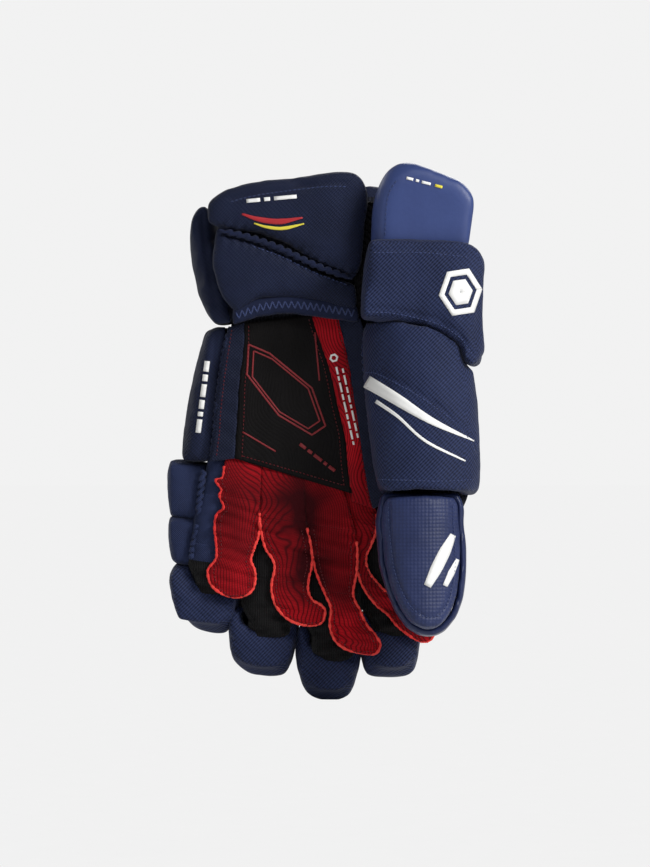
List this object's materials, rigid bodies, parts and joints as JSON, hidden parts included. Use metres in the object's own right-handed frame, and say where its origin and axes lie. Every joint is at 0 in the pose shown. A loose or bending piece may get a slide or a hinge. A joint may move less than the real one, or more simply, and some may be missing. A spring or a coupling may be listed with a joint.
{
  "type": "ice hockey glove",
  "caption": "Padded left-hand ice hockey glove with a flared cuff, jointed fingers, a two-part thumb and a suede palm.",
  "frame": {"origin": "centre of the hand opening in the cuff", "axes": "+Z out of the cuff, fingers along -Z; palm faces -Y; thumb on the +X side"},
  "size_m": [0.2052, 0.1537, 0.3542],
  "materials": {
    "shell_fabric": "coarse woven nylon, navy",
    "cuff_face": "smooth coated fabric, navy",
    "binding": "folded nylon binding",
    "palm_leather": "suede-like synthetic, red",
    "overlay": "smooth synthetic suede, black",
    "web_fabric": "flat woven nylon, navy",
    "stretch": "ribbed stretch knit, black",
    "border": "moulded welt, navy",
    "plate": "polyethylene, black"
  },
  "bodies": {
    "hand": {"palm_sheet": "palm_leather", "palm_overlay": "overlay", "palm_thumb_strip": "palm_leather", "thumb_web_strip": "web_fabric", "side_strip": "web_fabric", "side_hand_pad": "shell_fabric", "cuff_elastic": "stretch", "back_plate": "plate", "back_roll_wrist": "shell_fabric", "back_roll_middle": "shell_fabric", "back_roll_knuckle": "shell_fabric"},
    "cuff_palm": {"cuff_palm_upper_pad": "shell_fabric", "cuff_palm_lower_pad": "shell_fabric", "cuff_palm_binding": "binding", "cuff_palm_plate": "plate"},
    "cuff_side": {"cuff_side_roll": "shell_fabric"},
    "cuff_back": {"cuff_back_roll": "shell_fabric", "cuff_back_plate": "plate"},
    "cuff_thumb": {"cuff_thumb_panel": "cuff_face", "cuff_thumb_band": "shell_fabric"},
    "thumb_base": {"thumb_base_pad": "shell_fabric", "thumb_base_splint": "plate", "thumb_base_gusset": "stretch"},
    "thumb_tip": {"thumb_tip_pad": "shell_fabric", "thumb_tip_border": "border", "thumb_tip_splint": "plate", "thumb_tip_gusset": "stretch"},
    "index_proximal": {"index_proximal_roll": "shell_fabric", "index_proximal_gusset": "stretch", "index_proximal_palm": "palm_leather"},
    "index_middle": {"index_middle_roll": "shell_fabric", "index_middle_gusset": "stretch", "index_middle_palm": "palm_leather"},
    "index_tip": {"index_tip_cap": "shell_fabric", "index_tip_palm": "palm_leather"},
    "middle_proximal": {"middle_proximal_roll": "shell_fabric", "middle_proximal_gusset": "stretch", "middle_proximal_palm": "palm_leather"},
    "middle_middle": {"middle_middle_roll": "shell_fabric", "middle_middle_gusset": "stretch", "middle_middle_palm": "palm_leather"},
    "middle_tip": {"middle_tip_cap": "shell_fabric", "middle_tip_palm": "palm_leather"},
    "ring_proximal": {"ring_proximal_roll": "shell_fabric", "ring_proximal_gusset": "stretch", "ring_proximal_palm": "palm_leather"},
    "ring_middle": {"ring_middle_roll": "shell_fabric", "ring_middle_gusset": "stretch", "ring_middle_palm": "palm_leather"},
    "ring_tip": {"ring_tip_cap": "shell_fabric", "ring_tip_palm": "palm_leather"},
    "pinky_proximal": {"pinky_proximal_roll": "shell_fabric", "pinky_proximal_gusset": "stretch", "pinky_proximal_palm": "palm_leather"},
    "pinky_middle": {"pinky_middle_roll": "shell_fabric", "pinky_middle_gusset": "stretch", "pinky_middle_palm": "palm_leather"},
    "pinky_tip": {"pinky_tip_cap": "shell_fabric", "pinky_tip_palm": "palm_leather"}
  },
  "joints": [
    {"name": "cuff_palm_flare", "type": "hinge", "parent": "hand", "child": "cuff_palm", "pos_m": [-0.03, -0.046, -0.077], "axis": [1, 0, 0], "range_deg": [0, 25], "stiffness_Nm_per_rad": 0.35},
    {"name": "cuff_side_flare", "type": "hinge", "parent": "hand", "child": "cuff_side", "pos_m": [-0.08, 0, -0.0775], "axis": [0, -1, 0], "range_deg": [0, 20], "stiffness_Nm_per_rad": 0.35},
    {"name": "cuff_back_flare", "type": "hinge", "parent": "hand", "child": "cuff_back", "pos_m": [0, 0.06, -0.075], "axis": [-1, 0, 0], "range_deg": [0, 25], "stiffness_Nm_per_rad": 0.35},
    {"name": "cuff_thumb_flare", "type": "hinge", "parent": "hand", "child": "cuff_thumb", "pos_m": [0.09, -0.08, -0.106], "axis": [1, 0, 0], "range_deg": [0, 15], "stiffness_Nm_per_rad": 0.35},
    {"name": "thumb_swing", "type": "hinge", "parent": "hand", "child": "thumb_base", "pos_m": [0.06, -0.078, -0.078], "axis": [-1, 0, 0], "range_deg": [0, 20], "stiffness_Nm_per_rad": 0.35},
    {"name": "thumb_tip_flex", "type": "hinge", "parent": "thumb_base", "child": "thumb_tip", "pos_m": [0.06, -0.04773, -0.19179], "axis": [1, 0, 0], "range_deg": [0, 15], "stiffness_Nm_per_rad": 0.35},
    {"name": "index_knuckle", "type": "hinge", "parent": "hand", "child": "index_proximal", "pos_m": [0.038, -0.009, -0.189], "axis": [-1, 0, -0.0087], "range_deg": [0, 20], "stiffness_Nm_per_rad": 0.35},
    {"name": "index_break", "type": "hinge", "parent": "index_proximal", "child": "index_middle", "pos_m": [0.03837, -0.009, -0.231], "axis": [-1, 0, -0.0087], "range_deg": [0, 24], "stiffness_Nm_per_rad": 0.35},
    {"name": "index_tip_break", "type": "hinge", "parent": "index_middle", "child": "index_tip", "pos_m": [0.03868, -0.009, -0.267], "axis": [-1, 0, -0.0087], "range_deg": [0, 14], "stiffness_Nm_per_rad": 0.35},
    {"name": "middle_knuckle", "type": "hinge", "parent": "hand", "child": "middle_proximal", "pos_m": [0.003, -0.009, -0.19], "axis": [-0.9994, 0, 0.0349], "range_deg": [0, 40], "stiffness_Nm_per_rad": 0.35},
    {"name": "middle_break", "type": "hinge", "parent": "middle_proximal", "child": "middle_middle", "pos_m": [0.00139, -0.009, -0.23597], "axis": [-0.9994, 0, 0.0349], "range_deg": [0, 45], "stiffness_Nm_per_rad": 0.35},
    {"name": "middle_tip_break", "type": "hinge", "parent": "middle_middle", "child": "middle_tip", "pos_m": [0, -0.009, -0.27595], "axis": [-0.9994, 0, 0.0349], "range_deg": [0, 27], "stiffness_Nm_per_rad": 0.35},
    {"name": "ring_knuckle", "type": "hinge", "parent": "hand", "child": "ring_proximal", "pos_m": [-0.0325, -0.009, -0.187], "axis": [-0.9936, 0, 0.1132], "range_deg": [0, 40], "stiffness_Nm_per_rad": 0.35},
    {"name": "ring_break", "type": "hinge", "parent": "ring_proximal", "child": "ring_middle", "pos_m": [-0.03725, -0.009, -0.22873], "axis": [-0.9936, 0, 0.1132], "range_deg": [0, 45], "stiffness_Nm_per_rad": 0.35},
    {"name": "ring_tip_break", "type": "hinge", "parent": "ring_middle", "child": "ring_tip", "pos_m": [-0.04156, -0.009, -0.26649], "axis": [-0.9936, 0, 0.1132], "range_deg": [0, 27], "stiffness_Nm_per_rad": 0.35},
    {"name": "pinky_knuckle", "type": "hinge", "parent": "hand", "child": "pinky_proximal", "pos_m": [-0.068, -0.009, -0.1745], "axis": [-0.9914, 0, 0.1305], "range_deg": [0, 40], "stiffness_Nm_per_rad": 0.35},
    {"name": "pinky_break", "type": "hinge", "parent": "pinky_proximal", "child": "pinky_middle", "pos_m": [-0.0727, -0.009, -0.21019], "axis": [-0.9914, 0, 0.1305], "range_deg": [0, 45], "stiffness_Nm_per_rad": 0.35},
    {"name": "pinky_tip_break", "type": "hinge", "parent": "pinky_middle", "child": "pinky_tip", "pos_m": [-0.07675, -0.009, -0.24093], "axis": [-0.9914, 0, 0.1305], "range_deg": [0, 27], "stiffness_Nm_per_rad": 0.35}
  ],
  "couplings": [
    {"joint": "index_tip_break", "follows": "index_break", "ratio": 0.583},
    {"joint": "middle_tip_break", "follows": "middle_break", "ratio": 0.6},
    {"joint": "ring_tip_break", "follows": "ring_break", "ratio": 0.6},
    {"joint": "pinky_tip_break", "follows": "pinky_break", "ratio": 0.6}
  ]
}
